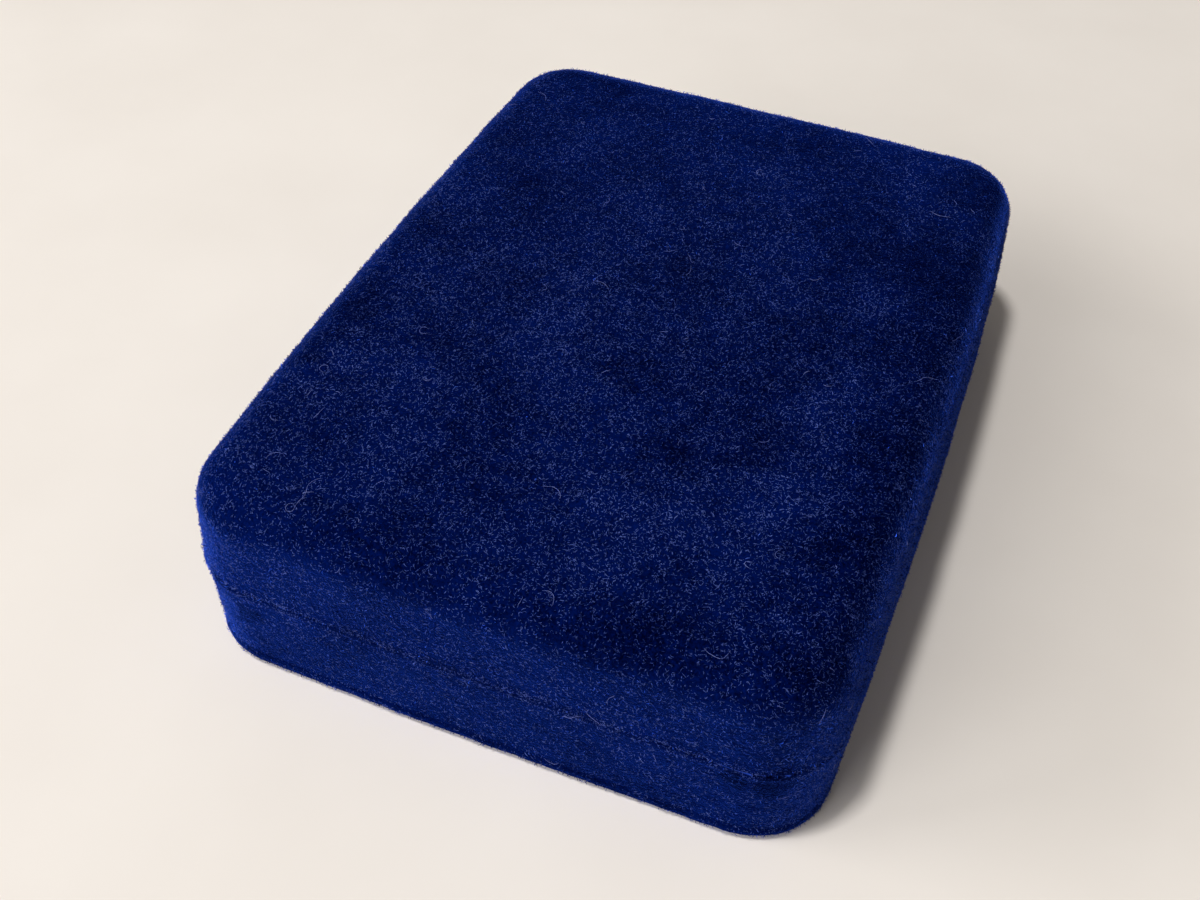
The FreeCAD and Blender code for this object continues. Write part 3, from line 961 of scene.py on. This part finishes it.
def swell(piece, held):
    """Blows a pad up with the cloth solver and keeps each point within the limit."""
    before = points_of(piece.data)[0]
    group = piece.vertex_groups.new(name="held")
    group.add(np.flatnonzero(held).tolist(), 1.0, "REPLACE")
    cloth = piece.modifiers.new("swell", "CLOTH")
    cloth.settings.effector_weights.gravity = 0.0
    cloth.settings.vertex_group_mass = group.name
    cloth.settings.use_pressure = True
    cloth.settings.uniform_pressure_force = 4.0
    cloth.settings.shrink_min = -0.035
    cloth.settings.bending_stiffness = 0.3
    cloth.collision_settings.use_collision = False
    cloth.point_cache.frame_end = cushion_frames
    for step in range(1, cushion_frames + 1):
        scene.frame_set(step)
    apply_modifiers(piece)
    scene.frame_set(1)
    piece.vertex_groups.clear()
    moved = points_of(piece.data)[0] - before
    far = np.linalg.norm(moved, axis=1)[:, None]
    limit = cushion_limit * cushion_scale
    moved *= limit * np.tanh(far / limit) / np.maximum(far, limit * 1e-6)
    piece.data.vertices.foreach_set("co", (before + moved).astype(np.float32).ravel())
    piece.data.update()


print("a point of the pad may move, in mm:", round(cushion_limit / MM, 2))

# %% Stuff the cushion
cushion_voxel = 0.9 * MM
cushion_outset = 0.85 * MM
core_sink = 0.8 * MM
core_waves = ((0.05 * MM, 0.6 * MM),)
card_hold = 1.2 * MM
side_face = 0.9
foam_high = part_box("lid_foam")[1]
well_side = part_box("lid_spring_pin")[1].x + 3.0 * MM
well_front = foam_high.y - 8.0 * MM


def by_well(places):
    """True round the notch for the spring."""
    return (np.abs(places[:, 0]) < well_side) & (places[:, 1] > well_front)


def edge_on(normals):
    """True on the sides of the pad, which fill the rim."""
    return np.abs(normals[:, 2]) < side_face


cushion = add_piece("lid_cushion", welded_copy("lid_foam"), ivory_satin, "lid", ["lid_satin"])
even_quads(cushion, cushion_voxel, smoothing=6)
core = add_piece("lid_core", cushion.data.copy(), cream_foam, "lid", ["lid_foam"])
ruffle(core, core_waves, lambda places, normals: np.full(len(places), -core_sink))
ruffle(cushion, (), lambda places, normals: cushion_outset * (edge_on(normals) & ~by_well(places)))
places = points_of(cushion.data)[0]
held = by_well(places) | (places[:, 2] > foam_high.z - card_hold)
cushion.data.transform(Matrix.Scale(cushion_scale, 4))
swell(cushion, held)
cushion.data.transform(Matrix.Scale(1 / cushion_scale, 4))
cushion.modifiers.new("round", "SUBSURF")
apply_modifiers(cushion)
print("cushion faces:", len(cushion.data.polygons))

# %% [markdown]
# ## The hard pieces
#
# The rims, hinge, spring, shells and panels keep their measured shapes. What they lack is the softened
# edge that catches light on every stamped or moulded thing, and a bevel modifier adds that without
# touching the mesh. The welding step before it joins the split corners, and the weighted normals after
# it keep the flat faces flat.

# %% Metals
def metal(name, bright, dull, roughness, brushing):
    """Worn metal with a grain that runs the way it was rolled, and patches of tarnish."""
    finish = Finish(name)
    tarnish = finish.band(finish.grain(5 * MM, detail=5.0, roughness=0.65), 0.45, 0.7)
    rolled = finish.grain(0.35 * MM, detail=2.0, stretch=brushing)
    return finish.shade(
        Base_Color=finish.blend(tarnish, bright, dull),
        Metallic=1.0,
        Roughness=roughness + 0.16 * tarnish + 0.12 * rolled,
        Normal=finish.bump(rolled, 0.004 * MM),
    )


round_the_rim, across_the_case = (0.12, 0.12, 1), (0.1, 1, 1)
gilt = metal("gilt_brass", srgb(222, 182, 104), srgb(168, 124, 62), 0.16, round_the_rim)
hinge_brass = metal("hinge_brass", srgb(206, 168, 98), srgb(142, 106, 58), 0.22, across_the_case)
spring_steel = metal("spring_steel", srgb(176, 178, 180), srgb(122, 112, 98), 0.18, across_the_case)
print("metals:", [finish.name for finish in (gilt, hinge_brass, spring_steel)])

# %% Leatherette, styrene and board
def leatherette():
    """Navy paper leather with a pressed pebble grain and pale rubbed high spots."""
    finish = Finish("leatherette")
    warp = finish.grain(2.5 * MM, detail=2.0)
    cells = finish.cells(0.75 * MM, "DISTANCE_TO_EDGE")
    pebble = finish.band(cells + 0.12 * warp, 0.02, 0.3)
    rubbed = pebble * finish.band(finish.grain(24 * MM, detail=4.0), 0.5, 0.75)
    return finish.shade(
        Base_Color=finish.blend(0.5 * rubbed + 0.3 * pebble, srgb(6, 10, 26), srgb(38, 46, 76)),
        Roughness=0.62 - 0.16 * pebble,
        Normal=finish.bump(pebble, 0.06 * MM),
    )


def moulded():
    """Dark styrene with the fine matt texture of its mould and faint flow lines."""
    finish = Finish("moulded_styrene")
    texture = finish.grain(0.3 * MM, detail=2.0)
    flow = finish.grain(9 * MM, detail=3.0, stretch=(1, 0.25, 1))
    return finish.shade(
        Base_Color=finish.blend(flow, srgb(16, 18, 26), srgb(28, 32, 44)),
        Roughness=0.42 + 0.2 * texture,
        Normal=finish.bump(texture, 0.02 * MM),
    )


def pressed(name, dark, light, fibre):
    """Pressed board: short fibres lying every way, with darker flecks."""
    finish = Finish(name)
    along = finish.grain(fibre, detail=3.0, stretch=(1, 0.15, 1))
    across = finish.grain(fibre, detail=3.0, stretch=(0.15, 1, 1))
    flecks = finish.band(finish.grain(0.9 * MM, detail=2.0), 0.66, 0.74)
    colour = finish.blend(0.5 * along + 0.5 * across, dark, light)
    return finish.shade(
        Base_Color=finish.blend(0.5 * flecks, colour, dark),
        Roughness=0.82 + 0.1 * along,
        Normal=finish.bump(along + across, 0.05 * MM),
    )


panel_leatherette = leatherette()
shell_styrene = moulded()
tray_fibre = pressed("pressed_fibre", srgb(44, 34, 28), srgb(80, 62, 46), 0.5 * MM)
lid_card = pressed("grey_card", srgb(120, 114, 104), srgb(176, 168, 154), 0.3 * MM)
print("leatherette nodes:", len(panel_leatherette.node_tree.nodes))

# %% Dress the hard pieces
finishes = {
    gilt: ("lid_rim", "base_rim"),
    hinge_brass: ("lid_hinge_leaf", "base_hinge_leaf", "lid_hinge_rivets", "base_hinge_rivets",
                  "hinge_pin"),
    spring_steel: ("snap_spring", "lid_spring_pin", "base_spring_pin"),
    shell_styrene: ("lid_shell", "base_shell"),
    panel_leatherette: ("bottom_panel",),
    tray_fibre: ("tray_block",),
    lid_card: ("lid_board",),
}
edge_width = {"bottom_panel": 0.25 * MM, "snap_spring": 0.04 * MM}
usual_edge = 0.08 * MM
sharp_angle = math.radians(35)


def soften_edges(piece, width):
    """Rounds the sharp edges of a measured piece with modifiers, which leave its mesh alone."""
    weld = piece.modifiers.new("weld", "WELD")
    weld.merge_threshold = weld_distance
    bevel = piece.modifiers.new("edge", "BEVEL")
    bevel.width = width
    bevel.segments = 2
    bevel.limit_method = "ANGLE"
    bevel.angle_limit = sharp_angle
    bevel.use_clamp_overlap = True
    piece.modifiers.new("flat faces", "WEIGHTED_NORMAL")


for finish, names in finishes.items():
    for name in names:
        piece = nodes[name]
        piece.data.materials.clear()
        piece.data.materials.append(finish)
        soften_edges(piece, edge_width.get(name, usual_edge))
print("dressed:", sum(len(names) for names in finishes.values()), "hard pieces")
